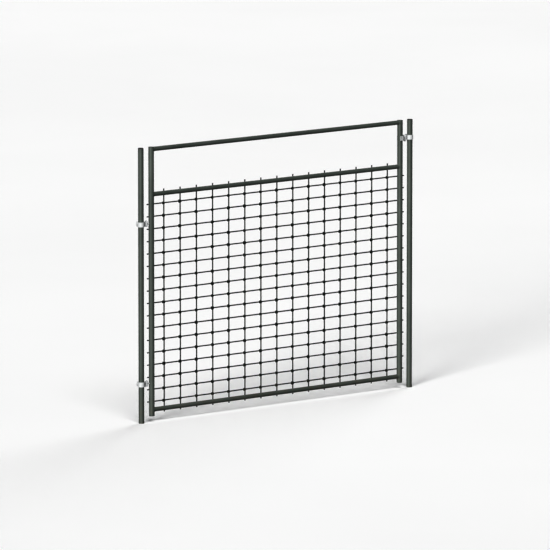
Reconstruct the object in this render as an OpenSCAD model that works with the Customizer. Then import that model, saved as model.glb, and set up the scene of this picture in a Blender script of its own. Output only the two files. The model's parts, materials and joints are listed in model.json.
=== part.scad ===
// Walk-through gate for electric livestock netting.
//
// Two tubular ground posts stand in the soil. A welded tubular leaf with a wire panel hangs between
// them on two clamped hinges, and a swinging strap on the other post holds the leaf shut.
//
// Millimetres. Z is up and z = 0 is the ground. The hinge post's axis is the Z axis. The leaf runs
// toward +X to the latch post. The walking side that the leaf opens toward is -Y.

/* [Posts] */

// Distance between the axes of the two ground posts
post_spacing = 1654; // [900:1:3000]
// Height of the posts above the ground, caps included
post_height = 1333; // [900:1:1800]
// Outer diameter of a ground post
post_d = 26.9; // [20:0.1:42]
// Wall thickness of a ground post
post_wall = 2; // [1.5:0.1:3.5]
// Diameter of the ground spike under each post
spike_d = 14; // [10:0.5:18]
// Length of the spike's plain round part
spike_length = 240; // [120:5:400]
// Length of the spike's tapered point
spike_point = 40; // [20:1:80]
// Width of the flat at the spike's tip
spike_tip_d = 4; // [2:0.5:8]
// Thickness of the collar that stops the post at the ground
spike_collar_t = 3; // [2:0.5:6]
// Length of the spike's plug inside the tube
spike_plug = 40; // [15:1:80]

/* [Leaf frame] */

// Clear gap between a post and the stile beside it
side_gap = 35.1; // [34:0.1:60]
// Outer diameter of a stile
stile_d = 26.9; // [20:0.1:42]
// Wall thickness of a stile
stile_wall = 2; // [1.5:0.1:3.5]
// Outer diameter of a rail
rail_d = 21.3; // [16:0.1:32]
// Wall thickness of a rail
rail_wall = 2; // [1.5:0.1:3]
// Height of the stiles' lower ends above the ground
leaf_clearance = 29; // [15:1:150]
// Distance from the stiles' lower ends up to the bottom rail's axis
bottom_rail_rise = 31; // [20:1:150]
// Distance between the axes of the top rail and the middle rail
window_pitch = 218; // [100:1:400]
// Thickness of the plate welded on top of each stile
top_plate_t = 2; // [1:0.5:4]

/* [Wire panel] */

// Diameter of a panel wire
wire_d = 6; // [3:0.1:8]
// Number of vertical wires
vertical_count = 15; // [5:1:30]
// Number of horizontal wires
horizontal_count = 17; // [5:1:30]
// Distance from the hinge stile's axis to the first vertical wire
panel_left = 85.4; // [40:0.1:150]
// Distance from the last vertical wire to the latch stile's axis
panel_right = 68.4; // [40:0.1:150]
// Distance from the bottom rail's axis up to the lowest horizontal wire
panel_low = 35; // [20:0.1:60]
// Distance from the highest horizontal wire up to the middle rail's axis
panel_high = 50.6; // [20:0.1:80]
// Length that a horizontal wire runs past the hinge stile's axis
over_left = 11.5; // [5:0.5:25]
// Clear gap between the horizontal wires' ends and the latch post
over_right_gap = 9.5; // [5:0.5:30]
// Length that a vertical wire runs past a rail's axis
over_rail = 19.5; // [12:0.5:30]
// Depth that a resistance weld sinks one wire into its neighbour
weld_sink = 0.2; // [0.1:0.05:0.5]
// How far a weld bead between a wire and a stile stands out past the wire's sides
bead_lip = 0.8; // [0.3:0.1:2]
// Gap between a stile's back and the horizontal wires, filled by the beads
bead_gap = 2.8; // [1.5:0.1:5]

/* [Clamps] */

// Thickness of the strap that the clamps are bent from
strap_t = 3; // [2:0.5:5]
// Height of a hinge clamp
clamp_h = 23; // [20:0.5:40]
// Height of the latch clamp and the latch strap
latch_h = 22; // [20:0.5:40]
// Height of the lower hinge clamp's middle above the ground
lower_hinge_z = 189; // [120:1:400]
// Height of the upper hinge clamp's middle above the ground
upper_hinge_z = 964; // [600:1:1300]
// Height of the latch's middle below the top of the posts
latch_drop = 88; // [60:1:180]
// Width of the slot between a clamp's ears
ear_gap = 4; // [2:0.5:8]
// Distance from a clamp's strap or stop, whichever is further back, to the ends of its ears
ear_reach = 13.2; // [11:0.1:20]
// Diameter of a clamp bolt
bolt_d = 6; // [5:1:8]

/* [Hinges] */

// Diameter of the hinge pins and the latch pivot bolt
pin_d = 8; // [6:0.5:12]
// Wall of the knuckle around a pin
knuckle_wall = 3; // [2:0.5:5]
// Height of a hinge eye
eye_h = 12; // [8:0.5:18]
// Length of pin that stands above its clamp
pin_nub = 5; // [4:0.5:10]
// Diameter of an eye bolt's shank
shank_d = 6; // [5:0.5:10]
// Height of the gap in the latch clamp for the strap's barrel
barrel_slot_h = 14.4; // [12:0.1:16]
// Length that the latch strap reaches past the stile's axis
latch_reach = 6; // [3:0.5:12]
// Length of the flared finger tab, along the leaf
tab_reach = 4; // [2:0.5:10]
// Length that the fixed stop reaches past the stile's axis
stop_reach = 5; // [2:0.5:12]

/* [Clearances] */

// Radial gap between a clamp and its post
clamp_fit = 0.1; // [0.05:0.05:0.5]
// Radial running gap around a hinge pin
pin_fit = 0.05; // [0.02:0.01:0.1]
// Gap above and below a hinge eye
eye_fit = 0.4; // [0.2:0.1:1]
// Radial gap of bolts in their holes and nuts
bolt_fit = 0.1; // [0.05:0.05:0.4]
// Gap between the shut stile and its latch strap or its stop
shut_fit = 0.4; // [0.3:0.1:2]
// Radial gap around plugs inside tubes
plug_fit = 0.05; // [0.02:0.01:0.2]
// Gap between a coped rail end and its stile, filled by the weld
cope_fit = 0.05; // [0.02:0.01:0.2]

/* [Hidden] */

$fn = 48;

// How far a clamp's legs sit inside the knuckle's round
leg_inset = 1;

// Radii
post_r = post_d / 2;
stile_r = stile_d / 2;
rail_r = rail_d / 2;
wire_r = wire_d / 2;
bead_r = wire_r + bead_lip;
pin_r = pin_d / 2;
bolt_r = bolt_d / 2;
shank_r = shank_d / 2;
knuckle_r = pin_r + knuckle_wall;
clamp_bore_r = post_r + clamp_fit;
clamp_outer_r = clamp_bore_r + strap_t;
leg_half = knuckle_r - leg_inset;

// Plan positions
pin_x = post_r + side_gap / 2;
hinge_stile_x = post_r + side_gap + stile_r;
latch_stile_x = post_spacing - hinge_stile_x;
pivot_x = post_spacing - pin_x;
wire_left_x = hinge_stile_x - over_left;
wire_right_x = post_spacing - post_r - over_right_gap;

// Heights
stile_top_z = post_height;
top_rail_z = stile_top_z - rail_r;
middle_rail_z = top_rail_z - window_pitch;
bottom_rail_z = leaf_clearance + bottom_rail_rise;
latch_z = post_height - latch_drop;

// Panel spacing
vertical_pitch = (latch_stile_x - hinge_stile_x - panel_left - panel_right) / (vertical_count - 1);
lowest_wire_z = bottom_rail_z + panel_low;
horizontal_pitch = (middle_rail_z - panel_high - lowest_wire_z) / (horizontal_count - 1);
horizontal_y = stile_r + bead_gap + wire_r;
vertical_y = horizontal_y - (wire_d - weld_sink);
rail_y = vertical_y - (rail_r + wire_r - weld_sink);

// Plastic caps
cap_flange_t = 2;
cap_plug_h = 14;
cap_bore_r = 4;
cap_taper = 0.6;

// How far a cutting shape runs past what it cuts
past = 1;

// Chamfer of bolt tails and caps, and of the pin ends
chamfer = 0.8;
pin_chamfer = 1;

// Fastener proportions, as multiples of the thread diameter
head_flats = 1.65;
head_height = 0.7;
nut_height = 0.8;
hex_corner = 2 / sqrt(3);
bolt_tail = 2;

// How far a weld bead stays short of the wire's middle line
bead_short = 1;

// Clamp ears
stop_y = stile_r + shut_fit;
ear_end_y = max(clamp_outer_r, stop_y + strap_t) + ear_reach;
ear_margin = 0.8;
ear_bolt_y = ear_end_y - bolt_d * head_flats * hex_corner / 2 - ear_margin;
ear_half = ear_gap / 2 + strap_t;

// Window in a clamp for the eye or the barrel that turns in it
window_margin = 1.5;
window_h = eye_h + 2 * eye_fit;
window_half = knuckle_r + window_margin;

// Hinge pin's head, its retaining clip and the groove that holds the clip
pin_head_h = 1.5;
pin_head_lip = 1.8;
pin_head_r = pin_r + pin_head_lip;
clip_t = 1;
clip_lip = 2;
clip_r = pin_r + clip_lip;
clip_lift = 0.3;
clip_mouth = 3;
groove_depth = 0.6;

// Threaded insert: flange outside the stile, and a bulge that grips the inside of its wall
insert_wall = 1.5;
insert_flange_t = 1;
insert_lip = 1.5;
insert_short = 1;
insert_r = shank_r + insert_wall;
insert_flange_r = insert_r + insert_lip;
insert_length = stile_r - insert_short;
bulge_lip = 0.8;
bulge_gap = 0.2;
bulge_length = 3;
bulge_r = insert_r + bulge_lip;
bulge_start = stile_r - sqrt(pow(stile_r - stile_wall, 2) - pow(bulge_r, 2)) + bulge_gap;

// How far inside the insert's end the eye bolt's shank stops
shank_short = 1;

// Latch pivot: bolt head, and a washer above and below the strap's barrel
pivot_head_h = 2.5;
pivot_head_lip = 2.5;
pivot_head_slope = 1.2;
pivot_head_r = pin_r + pivot_head_lip;
washer_t = 0.5;
washer_fit = 0.2;
washer_inset = 0.5;
washer_r = knuckle_r - washer_inset;
barrel_h = barrel_slot_h - 2 * (washer_t + washer_fit);

// Latch strap: root inside the barrel, short straight lead, joggle past the stile's near side,
// then the wide flat part across the stile's front
strap_root = 2;
strap_lead = 3;
strap_joggle = 6;
strap_neck = 5;
strap_start = knuckle_r - strap_root;
strap_bend_1 = knuckle_r + strap_lead;
strap_bend_2 = side_gap / 2 + strap_joggle;
strap_end_x = side_gap / 2 + stile_r + latch_reach;
strap_wide_from = knuckle_r + strap_neck;
strap_line_y = -2.5;
strap_front_y = -(stile_r + shut_fit + strap_t / 2);

// Its path from the barrel toward the stile, seen from above with the pivot at the origin
strap_path = [
    [-strap_start, strap_line_y],
    [-strap_bend_1, strap_line_y],
    [-strap_bend_2, strap_front_y],
    [-strap_end_x, strap_front_y],
    [-strap_end_x - tab_reach, strap_front_y - tab_reach]
];

// Turns a vector a quarter turn to the left.
function left_of(v) = [-v[1], v[0]];

// Direction of the path's segment i.
function heading(path, i) = (path[i + 1] - path[i]) / norm(path[i + 1] - path[i]);

// Offset of a path's point from the middle line, mitred at bends.
function mitre(path, i) =
    i == 0 ? left_of(heading(path, 0))
    : i == len(path) - 1 ? left_of(heading(path, i - 1))
    : let (
        a = left_of(heading(path, i - 1)),
        b = left_of(heading(path, i)),
        m = (a + b) / norm(a + b)
    ) m / (m * a);

// A bent strip of constant thickness along a path.
module bent_strip(path, t) {
    last = len(path) - 1;
    polygon(concat(
        [for (i = [0 : last]) path[i] + mitre(path, i) * t / 2],
        [for (i = [last : -1 : 0]) path[i] - mitre(path, i) * t / 2]
    ));
}

// A vertical tube from z0 to z1, centred on its own axis.
module upright_tube(r, wall, z0, z1) {
    translate([0, 0, z0])
        difference() {
            cylinder(r = r, h = z1 - z0);
            translate([0, 0, -past])
                cylinder(r = r - wall, h = z1 - z0 + 2 * past);
        }
}

// A cylinder along +X starting at the origin.
module bar_x(r, length) {
    rotate([0, 90, 0])
        cylinder(r = r, h = length);
}

// A hexagonal bar along +X, with two flats facing up and down.
module hex_x(flats, length) {
    rotate([0, 90, 0])
        rotate([0, 0, 30])
            cylinder(r = flats * hex_corner / 2, h = length, $fn = 6);
}

// A post tube standing on the spike's collar.
module post_tube() {
    upright_tube(post_r, post_wall, spike_collar_t, post_height - cap_flange_t);
}

// A plastic plug with a flange, standing on z = 0 with its plug pointing down.
module tube_cap(r, wall) {
    difference() {
        union() {
            cylinder(r = r, h = cap_flange_t - chamfer);
            translate([0, 0, cap_flange_t - chamfer])
                cylinder(r1 = r, r2 = r - chamfer, h = chamfer);
            translate([0, 0, -cap_plug_h])
                cylinder(r1 = r - wall - plug_fit - cap_taper, r2 = r - wall - plug_fit, h = cap_plug_h);
        }
        translate([0, 0, -cap_plug_h - past])
            cylinder(r = cap_bore_r, h = cap_plug_h);
    }
}

// The solid spike driven into the soil, with a collar on the ground and a plug inside the tube.
module spike() {
    translate([0, 0, -spike_length - spike_point])
        cylinder(r1 = spike_tip_d / 2, r2 = spike_d / 2, h = spike_point);
    translate([0, 0, -spike_length])
        cylinder(r = spike_d / 2, h = spike_length);
    cylinder(r = post_r, h = spike_collar_t);
    translate([0, 0, spike_collar_t])
        cylinder(r = post_r - post_wall - plug_fit, h = spike_plug);
}

// Plan of a clamp: a strap round the post, two legs to a knuckle at +X, two ears at +Y.
module clamp_plan() {
    difference() {
        union() {
            circle(r = clamp_outer_r);
            translate([0, -leg_half])
                square([pin_x, 2 * leg_half]);
            translate([pin_x, 0])
                circle(r = knuckle_r);
            translate([-ear_half, 0])
                square([2 * ear_half, ear_end_y]);
        }
        circle(r = clamp_bore_r);
        translate([0, -(leg_half - strap_t)])
            square([pin_x, 2 * (leg_half - strap_t)]);
        translate([pin_x, 0])
            circle(r = pin_r + pin_fit);
        translate([-ear_gap / 2, 0])
            square([ear_gap, ear_end_y + past]);
    }
}

// A clamp of the given height with a window for the piece that turns on its pin.
module clamp(h, window) {
    difference() {
        translate([0, 0, -h / 2])
            linear_extrude(height = h)
                clamp_plan();
        translate([pin_x - window_half, -window_half, -window / 2])
            cube([2 * window_half, 2 * window_half, window]);
        translate([-ear_half - past, ear_bolt_y, 0])
            bar_x(bolt_r + bolt_fit, 2 * (ear_half + past));
    }
}

// A clamp bolt across the ears, head on the -X side.
module ear_bolt() {
    head = bolt_d * head_height;
    tail = bolt_d * nut_height + bolt_tail;
    translate([-ear_half - head, ear_bolt_y, 0])
        hex_x(bolt_d * head_flats, head);
    translate([-ear_half - head / 2, ear_bolt_y, 0])
        bar_x(bolt_r, head / 2 + 2 * ear_half + tail - chamfer);
    translate([ear_half + tail - chamfer, ear_bolt_y, 0])
        rotate([0, 90, 0])
            cylinder(r1 = bolt_r, r2 = bolt_r - chamfer, h = chamfer);
}

// A nut on the clamp bolt, on the +X side.
module ear_nut() {
    translate([ear_half, ear_bolt_y, 0])
        difference() {
            hex_x(bolt_d * head_flats, bolt_d * nut_height);
            translate([-past, 0, 0])
                bar_x(bolt_r + bolt_fit, bolt_d * nut_height + 2 * past);
        }
}

// Puts its children at both hinges on the hinge post's axis.
module at_hinges() {
    for (z = [lower_hinge_z, upper_hinge_z])
        translate([0, 0, z])
            children();
}

// Puts its children on the latch post's axis, turned so that +X points back to the leaf.
module at_latch() {
    translate([post_spacing, 0, latch_z])
        mirror([1, 0, 0])
            children();
}

module hinge_post() {
    color("darkgreen")
        post_tube();
}

module latch_post() {
    color("darkgreen")
        translate([post_spacing, 0, 0])
            post_tube();
}

module post_caps() {
    color("black")
        for (x = [0, post_spacing])
            translate([x, 0, post_height - cap_flange_t])
                tube_cap(post_r, post_wall);
}

module post_spikes() {
    color("darkgreen")
        for (x = [0, post_spacing])
            translate([x, 0, 0])
                spike();
}

module upper_hinge_clamp() {
    color("silver")
        translate([0, 0, upper_hinge_z])
            clamp(clamp_h, window_h);
}

module lower_hinge_clamp() {
    color("silver")
        translate([0, 0, lower_hinge_z])
            clamp(clamp_h, window_h);
}

// The latch clamp also carries a fixed stop that the shut stile rests against.
module latch_clamp() {
    stop_length = pin_x + side_gap / 2 + stile_r + stop_reach - ear_half;
    color("silver")
        at_latch()
            union() {
                clamp(latch_h, barrel_slot_h);
                difference() {
                    translate([ear_half - strap_t, stop_y, -latch_h / 2])
                        cube([stop_length + strap_t, strap_t, latch_h]);
                    translate([0, 0, -latch_h])
                        cylinder(r = clamp_bore_r, h = 2 * latch_h);
                }
            }
}

module clamp_bolts() {
    color("silver") {
        at_hinges()
            ear_bolt();
        at_latch()
            ear_bolt();
    }
}

module clamp_nuts() {
    color("silver") {
        at_hinges()
            ear_nut();
        at_latch()
            ear_nut();
    }
}

// Headed pins, head down, with a groove for the clip just above the clamp.
module hinge_pins() {
    color("gray")
        at_hinges()
            translate([pin_x, 0, 0])
                difference() {
                    union() {
                        translate([0, 0, -clamp_h / 2 - pin_head_h])
                            cylinder(r = pin_head_r, h = pin_head_h);
                        translate([0, 0, -clamp_h / 2])
                            cylinder(r = pin_r, h = clamp_h + pin_nub - pin_chamfer);
                        translate([0, 0, clamp_h / 2 + pin_nub - pin_chamfer])
                            cylinder(r1 = pin_r, r2 = pin_r - pin_chamfer, h = pin_chamfer);
                    }
                    translate([0, 0, clamp_h / 2 + clip_lift - bolt_fit])
                        clip_ring(pin_r + past, clip_t + 2 * bolt_fit);
                }
}

// A flat ring that sits in a pin's groove.
module clip_ring(r, h) {
    difference() {
        cylinder(r = r, h = h);
        translate([0, 0, -past])
            cylinder(r = pin_r - groove_depth, h = h + 2 * past);
    }
}

module pin_clips() {
    color("silver")
        at_hinges()
            translate([pin_x, 0, clamp_h / 2 + clip_lift])
                difference() {
                    clip_ring(clip_r, clip_t);
                    translate([0, -clip_mouth / 2, -past])
                        cube([clip_r + past, clip_mouth, clip_t + 2 * past]);
                }
}

module latch_pivot_bolt() {
    tail = pin_d * nut_height + bolt_tail;
    color("silver")
        at_latch()
            translate([pin_x, 0, 0]) {
                translate([0, 0, latch_h / 2])
                    cylinder(r1 = pivot_head_r, r2 = pivot_head_r - pivot_head_slope, h = pivot_head_h);
                translate([0, 0, pin_chamfer - latch_h / 2 - tail])
                    cylinder(r = pin_r, h = latch_h + tail - pin_chamfer);
                translate([0, 0, -latch_h / 2 - tail])
                    cylinder(r1 = pin_r - pin_chamfer, r2 = pin_r, h = pin_chamfer);
            }
}

module latch_pivot_nut() {
    nut = pin_d * nut_height;
    color("silver")
        at_latch()
            translate([pin_x, 0, -latch_h / 2 - nut])
                difference() {
                    cylinder(r = pin_d * head_flats * hex_corner / 2, h = nut, $fn = 6);
                    translate([0, 0, -past])
                        cylinder(r = pin_r + bolt_fit, h = nut + 2 * past);
                }
}

// The hinge stile has a hole for each threaded insert.
module hinge_stile() {
    color("darkgreen")
        difference() {
            translate([hinge_stile_x, 0, 0])
                upright_tube(stile_r, stile_wall, leaf_clearance + cap_flange_t, stile_top_z - top_plate_t);
            at_hinges()
                translate([pin_x, 0, 0])
                    bar_x(insert_r + bolt_fit / 2, hinge_stile_x - pin_x);
        }
}

module latch_stile() {
    color("darkgreen")
        translate([latch_stile_x, 0, 0])
            upright_tube(stile_r, stile_wall, leaf_clearance + cap_flange_t, stile_top_z - top_plate_t);
}

// A rail between the stiles, its ends coped to their round faces.
module coped_rail(z) {
    span = latch_stile_x - hinge_stile_x;
    color("darkgreen")
        difference() {
            translate([hinge_stile_x, rail_y, z])
                difference() {
                    bar_x(rail_r, span);
                    translate([-past, 0, 0])
                        bar_x(rail_r - rail_wall, span + 2 * past);
                }
            for (x = [hinge_stile_x, latch_stile_x])
                translate([x, 0, z - rail_d])
                    cylinder(r = stile_r + cope_fit, h = 2 * rail_d);
        }
}

module top_rail() {
    coped_rail(top_rail_z);
}

module middle_rail() {
    coped_rail(middle_rail_z);
}

module bottom_rail() {
    coped_rail(bottom_rail_z);
}

module stile_top_plates() {
    color("darkgreen")
        for (x = [hinge_stile_x, latch_stile_x])
            translate([x, 0, stile_top_z - top_plate_t])
                cylinder(r = stile_r, h = top_plate_t);
}

module stile_end_caps() {
    color("black")
        for (x = [hinge_stile_x, latch_stile_x])
            translate([x, 0, leaf_clearance + cap_flange_t])
                mirror([0, 0, 1])
                    tube_cap(stile_r, stile_wall);
}

module vertical_wires() {
    z0 = bottom_rail_z - over_rail;
    color("darkgreen")
        for (i = [0 : vertical_count - 1])
            translate([hinge_stile_x + panel_left + i * vertical_pitch, vertical_y, z0])
                cylinder(r = wire_r, h = middle_rail_z + over_rail - z0);
}

module horizontal_wires() {
    color("darkgreen")
        for (i = [0 : horizontal_count - 1])
            translate([wire_left_x, horizontal_y, lowest_wire_z + i * horizontal_pitch])
                bar_x(wire_r, wire_right_x - wire_left_x);
}

// Beads that fill the gap between each horizontal wire and the back of each stile.
module panel_weld_beads() {
    color("darkgreen")
        for (x = [hinge_stile_x, latch_stile_x], i = [0 : horizontal_count - 1])
            translate([x, 0, lowest_wire_z + i * horizontal_pitch])
                difference() {
                    rotate([-90, 0, 0])
                        cylinder(r = bead_r, h = horizontal_y - bead_short);
                    translate([0, 0, -2 * bead_r])
                        cylinder(r = stile_r, h = 4 * bead_r);
                    translate([-2 * bead_r, horizontal_y, 0])
                        bar_x(wire_r, 4 * bead_r);
                }
}

// Blind threaded inserts in the hinge stile, flange on its round face.
module threaded_inserts() {
    face_x = hinge_stile_x - stile_r;
    color("silver")
        at_hinges()
            translate([face_x, 0, 0])
                difference() {
                    union() {
                        translate([-insert_flange_t, 0, 0])
                            bar_x(insert_flange_r, insert_flange_t);
                        bar_x(insert_r, insert_length);
                        translate([bulge_start, 0, 0])
                            bar_x(bulge_r, bulge_length);
                    }
                    translate([-insert_flange_t - past, 0, 0])
                        bar_x(shank_r + bolt_fit, insert_length + insert_flange_t + 2 * past);
                }
}

// Eyes that turn on the hinge pins, screwed into the inserts.
module hinge_eye_bolts() {
    color("silver")
        at_hinges()
            translate([pin_x, 0, 0])
                difference() {
                    union() {
                        translate([0, 0, -eye_h / 2])
                            cylinder(r = knuckle_r, h = eye_h);
                        bar_x(shank_r, side_gap / 2 + insert_length - shank_short);
                    }
                    translate([0, 0, -eye_h])
                        cylinder(r = pin_r + pin_fit, h = 2 * eye_h);
                }
}

// The strap turns on the pivot bolt. Its wide part lies across the front of the shut stile.
module latch_strap() {
    color("silver")
        translate([pivot_x, 0, latch_z])
            difference() {
                union() {
                    translate([0, 0, -barrel_h / 2])
                        cylinder(r = knuckle_r, h = barrel_h);
                    translate([0, 0, -barrel_h / 2])
                        linear_extrude(height = barrel_h)
                            bent_strip(strap_path, strap_t);
                    intersection() {
                        translate([0, 0, -latch_h / 2])
                            linear_extrude(height = latch_h)
                                bent_strip(strap_path, strap_t);
                        translate([-strap_wide_from - 2 * strap_end_x, -4 * stile_r, -latch_h])
                            cube([2 * strap_end_x, 8 * stile_r, 2 * latch_h]);
                    }
                }
                translate([0, 0, -latch_h])
                    cylinder(r = pin_r + pin_fit, h = 2 * latch_h);
            }
}

// Friction washers above and below the strap's barrel.
module latch_washers() {
    color("ivory")
        translate([pivot_x, 0, latch_z])
            for (z = [barrel_h / 2, -barrel_h / 2 - washer_t])
                translate([0, 0, z])
                    difference() {
                        cylinder(r = washer_r, h = washer_t);
                        translate([0, 0, -past])
                            cylinder(r = pin_r + pin_fit, h = washer_t + 2 * past);
                    }
}

hinge_post();
latch_post();
post_caps();
post_spikes();
upper_hinge_clamp();
lower_hinge_clamp();
latch_clamp();
clamp_bolts();
clamp_nuts();
hinge_pins();
pin_clips();
latch_pivot_bolt();
latch_pivot_nut();
hinge_stile();
latch_stile();
top_rail();
middle_rail();
bottom_rail();
stile_top_plates();
stile_end_caps();
vertical_wires();
horizontal_wires();
panel_weld_beads();
threaded_inserts();
hinge_eye_bolts();
latch_strap();
latch_washers();
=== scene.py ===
import json
import math
import random

import bmesh
import bpy
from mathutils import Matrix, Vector, noise


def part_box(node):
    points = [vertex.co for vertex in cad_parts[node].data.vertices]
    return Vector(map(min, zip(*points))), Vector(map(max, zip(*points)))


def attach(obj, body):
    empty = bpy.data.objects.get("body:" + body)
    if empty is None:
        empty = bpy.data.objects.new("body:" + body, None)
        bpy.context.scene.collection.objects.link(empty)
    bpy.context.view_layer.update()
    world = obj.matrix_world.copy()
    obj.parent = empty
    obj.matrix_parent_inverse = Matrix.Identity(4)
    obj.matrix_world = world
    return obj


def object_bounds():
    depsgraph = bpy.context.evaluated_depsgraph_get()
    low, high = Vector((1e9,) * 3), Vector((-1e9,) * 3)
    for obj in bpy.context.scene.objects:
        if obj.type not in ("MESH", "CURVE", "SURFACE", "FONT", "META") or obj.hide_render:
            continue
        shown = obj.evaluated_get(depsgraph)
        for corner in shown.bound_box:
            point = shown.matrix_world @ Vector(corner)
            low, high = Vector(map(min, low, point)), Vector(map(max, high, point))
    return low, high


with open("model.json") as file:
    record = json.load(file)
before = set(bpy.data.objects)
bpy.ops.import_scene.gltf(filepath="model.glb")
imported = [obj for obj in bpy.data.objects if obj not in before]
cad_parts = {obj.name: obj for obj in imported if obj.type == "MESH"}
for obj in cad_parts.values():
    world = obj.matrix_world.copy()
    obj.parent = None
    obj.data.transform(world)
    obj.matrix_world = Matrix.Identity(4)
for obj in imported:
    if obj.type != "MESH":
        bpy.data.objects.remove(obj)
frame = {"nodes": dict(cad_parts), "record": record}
CAD_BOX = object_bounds()
NODES = frame["nodes"]
scene = bpy.context.scene


# ---------------------------------------------------------------- camera and light
def direction(azimuth, elevation):
    """The unit vector from the object toward a viewer or a lamp, angles in degrees."""
    a, e = math.radians(azimuth), math.radians(elevation)
    return Vector((math.sin(a) * math.cos(e), -math.cos(a) * math.cos(e), math.sin(e)))


def look(obj, at, toward):
    obj.location = at
    obj.rotation_euler = (toward - at).to_track_quat("-Z", "Y").to_euler()


# The camera was fitted to the posts, rails and wires. The aim and the distance are in metres.
CAMERA_AZIMUTH, CAMERA_ELEVATION = -38.1, 8.98
CAMERA_AIM = Vector((0.8135, 0.0, 0.6410))
CAMERA_DISTANCE = 35.523
CAMERA_LENS, CAMERA_SENSOR = 479.4, 36.0  # mm
CAMERA_CLIP = (0.1, 400.0)

# With a plain curve the thin dark tubes come out about a fifth too thin and pale on white.
DISPLAY_GAMMA = 0.7

camera_data = bpy.data.cameras.new("camera")
camera_data.lens = CAMERA_LENS
camera_data.sensor_width = CAMERA_SENSOR
camera_data.clip_start, camera_data.clip_end = CAMERA_CLIP
camera = bpy.data.objects.new("camera", camera_data)
scene.collection.objects.link(camera)
look(camera, CAMERA_AIM + direction(CAMERA_AZIMUTH, CAMERA_ELEVATION) * CAMERA_DISTANCE, CAMERA_AIM)
scene.camera = camera
scene.view_settings.view_transform = "Standard"
scene.view_settings.gamma = DISPLAY_GAMMA

# Name, azimuth, elevation, strength, width (degrees: a wide sun casts soft shade) and colour.
SUNS = (
    ("key", -62, 16, 4.1, 20, (1.0, 0.995, 0.985)),
    ("top", -26, 54, 1.65, 24, (1.0, 1.0, 1.0)),
    ("back", 114, 14, 2.6, 30, (0.99, 0.995, 1.0)),
)
SUN_DISTANCE = 20
SKY_COLOUR, SKY_STRENGTH = (0.94, 0.97, 1.0, 1), 0.03

for name, azimuth, elevation, strength, width, colour in SUNS:
    data = bpy.data.lights.new(name, "SUN")
    data.energy = strength
    data.angle = math.radians(width)
    data.color = colour
    sun = bpy.data.objects.new(name, data)
    scene.collection.objects.link(sun)
    look(sun, direction(azimuth, elevation) * SUN_DISTANCE, Vector((0, 0, 0)))

world = bpy.data.worlds.new("studio")
scene.world = world
world.use_nodes = True
sky = world.node_tree.nodes["Background"].inputs
sky["Color"].default_value = SKY_COLOUR
sky["Strength"].default_value = SKY_STRENGTH


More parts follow.
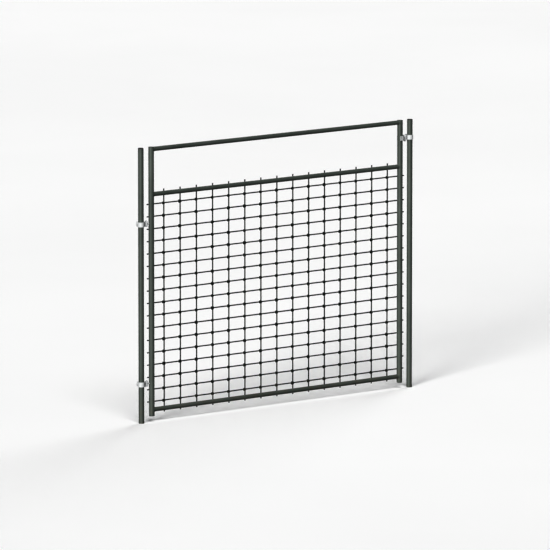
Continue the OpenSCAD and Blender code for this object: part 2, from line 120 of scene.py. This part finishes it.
# ---------------------------------------------------------------- material helpers
class Nodes:
    """Short calls for building one material's node tree."""

    # Cosine of the angle between the rounded and the true normal: on an edge, and clear of it.
    ON_EDGE, OFF_EDGE = 0.80, 0.985
    BEVEL_SAMPLES = 4

    def __init__(self, name):
        self.material = bpy.data.materials.new(name)
        self.material.use_nodes = True
        self.tree = self.material.node_tree
        self.shader = self.tree.nodes["Principled BSDF"]
        self.place = self.add("ShaderNodeTexCoord").outputs["Object"]

    def add(self, kind, **values):
        node = self.tree.nodes.new(kind)
        for key, value in values.items():
            setattr(node, key, value)
        return node

    def link(self, a, b):
        self.tree.links.new(a, b)

    def feed(self, socket, value):
        """Sets a socket to a number or a colour, or links it to another node's output."""
        if isinstance(value, (int, float)):
            socket.default_value = value
        elif isinstance(value, tuple):
            socket.default_value = (*value, 1)
        else:
            self.link(value, socket)

    def set(self, **values):
        for key, value in values.items():
            self.shader.inputs[key.replace("_", " ")].default_value = value

    def stretched(self, x, y, z):
        """Object coordinates scaled by axis: a small number draws a pattern out along that axis."""
        node = self.add("ShaderNodeMapping")
        self.link(self.place, node.inputs["Vector"])
        node.inputs["Scale"].default_value = (x, y, z)
        return node.outputs["Vector"]

    def noise(self, scale, detail=3.0, rough=0.55, vector=None):
        node = self.add("ShaderNodeTexNoise")
        self.link(vector or self.place, node.inputs["Vector"])
        node.inputs["Scale"].default_value = scale
        node.inputs["Detail"].default_value = detail
        node.inputs["Roughness"].default_value = rough
        return node.outputs["Fac"]

    def cells(self, scale):
        node = self.add("ShaderNodeTexVoronoi")
        self.link(self.place, node.inputs["Vector"])
        node.inputs["Scale"].default_value = scale
        return node

    def spread(self, value, low, high, to_low, to_high):
        """Maps low..high to to_low..to_high, and holds the ends beyond them."""
        node = self.add("ShaderNodeMapRange", clamp=True)
        self.link(value, node.inputs["Value"])
        ends = {"From Min": low, "From Max": high, "To Min": to_low, "To Max": to_high}
        for key, number in ends.items():
            node.inputs[key].default_value = number
        return node.outputs["Result"]

    def maths(self, op, a, b):
        node = self.add("ShaderNodeMath", operation=op)
        self.feed(node.inputs[0], a)
        self.feed(node.inputs[1], b)
        return node.outputs[0]

    def mix(self, factor, a, b):
        """Colour a where the factor is 0 and b where it is 1. Inputs 6 and 7 are a colour mix's A and B."""
        node = self.add("ShaderNodeMix", data_type="RGBA")
        self.link(factor, node.inputs[0])
        self.feed(node.inputs[6], a)
        self.feed(node.inputs[7], b)
        return node.outputs[2]

    def height(self):
        node = self.add("ShaderNodeSeparateXYZ")
        self.link(self.place, node.inputs[0])
        return node.outputs["Z"]

    def soft_edge(self, radius):
        """A normal that rounds the edges over this radius, and a mask of the edges."""
        bevel = self.add("ShaderNodeBevel", samples=self.BEVEL_SAMPLES)
        bevel.inputs["Radius"].default_value = radius
        dot = self.add("ShaderNodeVectorMath", operation="DOT_PRODUCT")
        self.link(bevel.outputs["Normal"], dot.inputs[0])
        self.link(self.add("ShaderNodeNewGeometry").outputs["Normal"], dot.inputs[1])
        mask = self.spread(dot.outputs["Value"], self.ON_EDGE, self.OFF_EDGE, 1, 0)
        return bevel.outputs["Normal"], mask

    def bump(self, normal, *layers):
        """Layers are (height, distance in metres). Each one adds to the normal before it."""
        for value, distance in layers:
            node = self.add("ShaderNodeBump")
            node.inputs["Distance"].default_value = distance
            self.link(value, node.inputs["Height"])
            self.link(normal, node.inputs["Normal"])
            normal = node.outputs["Normal"]
        self.link(normal, self.shader.inputs["Normal"])

    def finish(self, colour, roughness):
        self.link(colour, self.shader.inputs["Base Color"])
        self.link(roughness, self.shader.inputs["Roughness"])
        return self.material


def scaled(colour, factor, lift=0.0):
    return tuple(min(1.0, c * factor + lift) for c in colour)


SOIL = (0.105, 0.085, 0.055)
RUBBED = (0.20, 0.205, 0.19)


def powder_coat(name, deep, pale, rough_low, rough_high, specular, soil_to):
    """Dark green powder coat: orange peel, fine scratches, soil near the ground and rubbed edges."""
    n = Nodes(name)
    cloud = n.noise(7.0, 4.0)
    grain = n.noise(420.0, 2.0)
    tone = n.maths("ADD", cloud, n.maths("MULTIPLY", grain, 0.25))
    body = n.mix(n.spread(tone, 0.45, 0.85, 0, 1), deep, pale)

    scratch = n.noise(60.0, 2.0, 0.5, n.stretched(14, 14, 0.35))
    lines = n.spread(scratch, 0.70, 0.76, 0, 0.35)
    body = n.mix(lines, body, scaled(pale, 2.6, 0.01))

    low_down = n.spread(n.height(), 0.0, soil_to, 1, 0)
    splash = n.maths("MULTIPLY", low_down, n.spread(n.noise(38.0, 5.0, 0.7), 0.44, 0.62, 0, 1))
    body = n.mix(n.maths("MULTIPLY", splash, 0.55), body, SOIL)

    rounded, edge = n.soft_edge(0.0005)
    patches = n.spread(n.noise(130.0, 4.0, 0.7), 0.46, 0.60, 0, 0.8)
    body = n.mix(n.maths("MULTIPLY", edge, patches), body, RUBBED)

    matt = n.maths("ADD", n.noise(90.0, 3.0), n.maths("MULTIPLY", splash, 0.6))
    rough = n.spread(matt, 0.35, 1.1, rough_low, rough_high)
    n.bump(rounded, (n.noise(1400.0, 2.0), 0.00006), (n.noise(220.0, 2.0), 0.00005), (lines, 0.00002))
    n.set(Metallic=0.0, Specular_IOR_Level=specular)
    return n.finish(body, rough)


def galvanised(name, bright, dull, rough_low, rough_high):
    """Zinc coat: soft spangle, milky patches, a few darker handling marks and a painted highlight along the
    edges.
    """
    n = Nodes(name)
    spangle = n.cells(260.0)
    tone = n.add("ShaderNodeSeparateColor")
    n.link(spangle.outputs["Color"], tone.inputs[0])
    flake = n.spread(tone.outputs[0], 0, 1, 0, 0.55)
    milky = n.spread(n.noise(75.0, 4.0, 0.6), 0.42, 0.62, 0, 0.5)
    body = n.mix(n.maths("ADD", flake, milky), bright, dull)

    marks = n.spread(n.noise(160.0, 3.0, 0.6, n.stretched(1, 1, 5)), 0.66, 0.74, 0, 0.4)
    body = n.mix(marks, body, scaled(dull, 0.45))

    rounded, edge = n.soft_edge(0.0006)
    # Painted highlight: every edge is painted brighter than the bright zinc, on top of the rounded normal.
    body = n.mix(n.maths("MULTIPLY", edge, 0.45), body, scaled(bright, 1.25))

    matt = n.maths("ADD", n.noise(300.0, 2.0), tone.outputs[1])
    rough = n.spread(matt, 0.4, 1.5, rough_low, rough_high)
    crystals = spangle.outputs["Distance"]
    n.bump(rounded, (crystals, 0.0001), (n.noise(1800.0, 2.0), 0.00003), (marks, 0.00002))
    n.set(Metallic=0.1, Specular_IOR_Level=0.5)
    return n.finish(body, rough)


def plastic(name, deep, pale, worn, rough_low, rough_high):
    """Moulded plastic: fine texture, an uneven sheen and worn edges."""
    n = Nodes(name)
    body = n.mix(n.spread(n.noise(55.0, 4.0), 0.4, 0.7, 0, 1), deep, pale)
    rough = n.spread(n.noise(180.0, 3.0), 0.35, 0.65, rough_low, rough_high)
    rounded, edge = n.soft_edge(0.0008)
    body = n.mix(n.maths("MULTIPLY", edge, 0.5), body, worn)
    n.bump(rounded, (n.noise(2600.0, 1.0), 0.00004), (n.noise(350.0, 2.0), 0.00004))
    n.set(Metallic=0.0, Specular_IOR_Level=0.3)
    return n.finish(body, rough)


CAP_PALE = (0.022, 0.022, 0.021)
WASHER_PALE = (0.80, 0.79, 0.74)
BY_SLOT = {
    "green_tube": powder_coat(
        "green_tube", (0.070, 0.083, 0.073), (0.100, 0.116, 0.103), 0.34, 0.52, specular=0.5, soil_to=0.16),
    "green_wire": powder_coat(
        "green_wire", (0.009, 0.012, 0.010), (0.015, 0.019, 0.016), 0.42, 0.62, specular=0.2, soil_to=0.14),
    "zinc": galvanised("zinc", (0.66, 0.67, 0.67), (0.50, 0.52, 0.53), 0.50, 0.68),
    "steel_pin": galvanised("steel_pin", (0.46, 0.47, 0.47), (0.32, 0.33, 0.34), 0.28, 0.45),
    "black_plastic": plastic(
        "black_plastic", (0.010, 0.010, 0.010), CAP_PALE, scaled(CAP_PALE, 1.9), 0.42, 0.62),
    "nylon": plastic("nylon", (0.70, 0.69, 0.63), WASHER_PALE, WASHER_PALE, 0.40, 0.55),
}

for entry in frame["record"]["subparts"]:
    obj = NODES[entry["node"]]
    obj.data.materials.clear()
    obj.data.materials.append(BY_SLOT[entry["material_slot"]])


# ---------------------------------------------------------------- pieces
def middle(box, axis):
    return (box[0][axis] + box[1][axis]) / 2


def centre(node):
    low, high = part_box(node)
    return (Vector(low) + Vector(high)) / 2


POINT_DIGITS = 5  # vertices that agree to 0.01 mm are one point
ORDER_DIGITS = 4


def solids(node):
    """Boxes of a CAD node's separate solids, lowest x, then lowest z first."""
    mesh = NODES[node].data
    parent = {}

    def key(i):
        return tuple(round(c, POINT_DIGITS) for c in mesh.vertices[i].co)

    def root(k):
        while parent[k] != k:
            parent[k] = parent[parent[k]]
            k = parent[k]
        return k

    for i in range(len(mesh.vertices)):
        parent.setdefault(key(i), key(i))
    for polygon in mesh.polygons:
        keys = [root(key(i)) for i in polygon.vertices]
        for k in keys[1:]:
            parent[k] = keys[0]
    groups = {}
    for k in parent:
        groups.setdefault(root(k), []).append(k)
    boxes = []
    for points in groups.values():
        axes = list(zip(*points))
        boxes.append((Vector([min(axis) for axis in axes]), Vector([max(axis) for axis in axes])))
    return sorted(boxes, key=lambda box: (round(box[0].x, ORDER_DIGITS), round(box[0].z, ORDER_DIGITS)))


def new_mesh(name, bm):
    bmesh.ops.recalc_face_normals(bm, faces=bm.faces)
    mesh = bpy.data.meshes.new(name)
    bm.to_mesh(mesh)
    bm.free()
    return mesh


def piece(name, mesh, body, slot):
    obj = bpy.data.objects.new(name, mesh)
    scene.collection.objects.link(obj)
    obj.data.materials.append(BY_SLOT[slot])
    for polygon in obj.data.polygons:
        polygon.use_smooth = True
    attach(obj, body)


def add_tube_loop(bm, points, outs, radii, sides):
    """A tube along a closed loop of points. Each has a radius and a direction away from the joint."""
    count = len(points)
    rings = []
    for i, (point, out, radius) in enumerate(zip(points, outs, radii)):
        along = (points[(i + 1) % count] - points[i - 1]).normalized()
        side = (out - along * out.dot(along)).normalized()
        other = along.cross(side)
        ring = []
        for k in range(sides):
            angle = 2 * math.pi * k / sides
            ring.append(bm.verts.new(point + (side * math.cos(angle) + other * math.sin(angle)) * radius))
        rings.append(ring)
    for i, a in enumerate(rings):
        b = rings[(i + 1) % count]
        for k in range(sides):
            bm.faces.new((a[k], b[k], b[(k + 1) % sides], a[(k + 1) % sides]))


WELD_SEED, KNOT_SEED = 11, 5
WELD_STEPS, WELD_SIDES = 120, 8
WELD_RADIUS, WELD_RIPPLE, WELD_WANDER = 0.0019, 0.0003, 0.0004
STEPS_PER_RIPPLE = 3.3
WANDER_PER_STEP = 0.09
WELD_LEAN = 0.6  # how far a bead's outer side leans from the stile toward the rail


def frame_welds():
    """Ripple-topped fillet welds where each rail meets a stile."""
    bm = bmesh.new()
    random.seed(WELD_SEED)
    for rail in ("top_rail", "middle_rail", "bottom_rail"):
        rail_z = centre(rail).z
        low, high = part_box(rail)
        rail_r = (high[2] - low[2]) / 2
        for stile, sign in (("hinge_stile", 1), ("latch_stile", -1)):
            stile_x = centre(stile).x
            low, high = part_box(stile)
            stile_r = (high[1] - low[1]) / 2
            phase = random.random() * 6
            points, outs, radii = [], [], []
            for i in range(WELD_STEPS):
                a = 2 * math.pi * i / WELD_STEPS
                y, z = rail_r * math.cos(a), rail_r * math.sin(a)
                x = math.sqrt(max(stile_r ** 2 - y ** 2, 1e-9))
                points.append(Vector((stile_x + sign * x, y, rail_z + z)))
                outs.append(Vector((sign * WELD_LEAN, math.cos(a), math.sin(a))))
                ripple = 0.5 + 0.5 * math.sin(i * 2 * math.pi / STEPS_PER_RIPPLE + phase)
                wander = noise.noise(Vector((i * WANDER_PER_STEP, phase, stile_x * 3)))
                radii.append(WELD_RADIUS + WELD_RIPPLE * ripple + WELD_WANDER * wander)
            add_tube_loop(bm, points, outs, radii, WELD_SIDES)
    for v in bm.verts:
        # The welds beside the top plates are dressed flush with the top of the leaf.
        v.co.z = min(v.co.z, CAD_BOX[1][2])
    piece("frame_weld_fillets", new_mesh("frame_weld_fillets", bm), "leaf", "green_tube")


def ball():
    """Points and faces of a ball of radius 1, a little squarer than round."""
    bm = bmesh.new()
    bmesh.ops.create_icosphere(bm, subdivisions=3, radius=1.0)
    points = [v.co / sum(abs(c) ** 3 for c in v.co) ** (1 / 3) for v in bm.verts]
    faces = [[v.index for v in face.verts] for face in bm.faces]
    bm.free()
    return points, faces


BALL_POINTS, BALL_FACES = ball()
LUMP_SWELL, LUMP_SCALE = 0.14, 1.7


def add_lump(points, faces, at, size, seed):
    """Adds a small uneven lump. Size is how far it reaches from its middle along x, y and z."""
    first = len(points)
    shift = Vector((seed * 3.1, seed * 1.7, 0))
    for p in BALL_POINTS:
        swell = 1 + LUMP_SWELL * noise.noise(p * LUMP_SCALE + shift)
        points.append(Vector([p[i] * size[i] * swell for i in range(3)]) + at)
    faces.extend([first + i for i in face] for face in BALL_FACES)


KNOT_REACH, KNOT_DEPTH = 0.0073, 0.0056
KNOT_SPREAD = (0.92, 1.12)
RAIL_WELD_SIZE = (0.0040, 0.0018, 0.0058)
RAIL_WELD_OFFSET = 0.0004  # from the rail's back to the middle of the weld


def panel_knots():
    """Resistance-weld knots at every crossing of the wire panel, and smaller ones on the rails."""
    points, faces = [], []
    random.seed(KNOT_SEED)
    levels = sorted(solids("horizontal_wires"), key=lambda box: box[0].z)
    count = 0
    for upright in solids("vertical_wires"):
        x = middle(upright, 0)
        for level in levels:
            grow = random.uniform(*KNOT_SPREAD)
            at = Vector((x, (middle(upright, 1) + middle(level, 1)) / 2, middle(level, 2)))
            add_lump(points, faces, at, (KNOT_REACH * grow, KNOT_DEPTH, KNOT_REACH * grow), count)
            count += 1
        for rail in ("middle_rail", "bottom_rail"):
            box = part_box(rail)
            at = Vector((x, box[1][1] + RAIL_WELD_OFFSET, middle(box, 2)))
            add_lump(points, faces, at, RAIL_WELD_SIZE, count)
            count += 1
    mesh = bpy.data.meshes.new("panel_weld_knots")
    mesh.from_pydata(points, [], faces)
    piece("panel_weld_knots", mesh, "leaf", "green_wire")


frame_welds()
panel_knots()


# ---------------------------------------------------------------- floor
FLOOR_REACH = 160  # metres to each side, so that its edge is out of sight


def floor_material():
    n = Nodes("studio_floor")
    tone = n.spread(n.noise(0.35, 3.0), 0.35, 0.65, 0, 1)
    body = n.mix(tone, (0.94, 0.94, 0.94), (0.96, 0.96, 0.96))
    rough = n.spread(n.noise(6.0, 2.0), 0.3, 0.7, 0.85, 0.95)
    n.set(Specular_IOR_Level=0.0)
    return n.finish(body, rough)


bm = bmesh.new()
bmesh.ops.create_grid(bm, x_segments=8, y_segments=8, size=FLOOR_REACH)
floor = bpy.data.objects.new("studio_floor", new_mesh("studio_floor", bm))
floor.data.materials.append(floor_material())
scene.collection.objects.link(floor)
# The floor takes shadows but sends no light back onto the gate.
floor.visible_diffuse = False
floor.visible_glossy = False
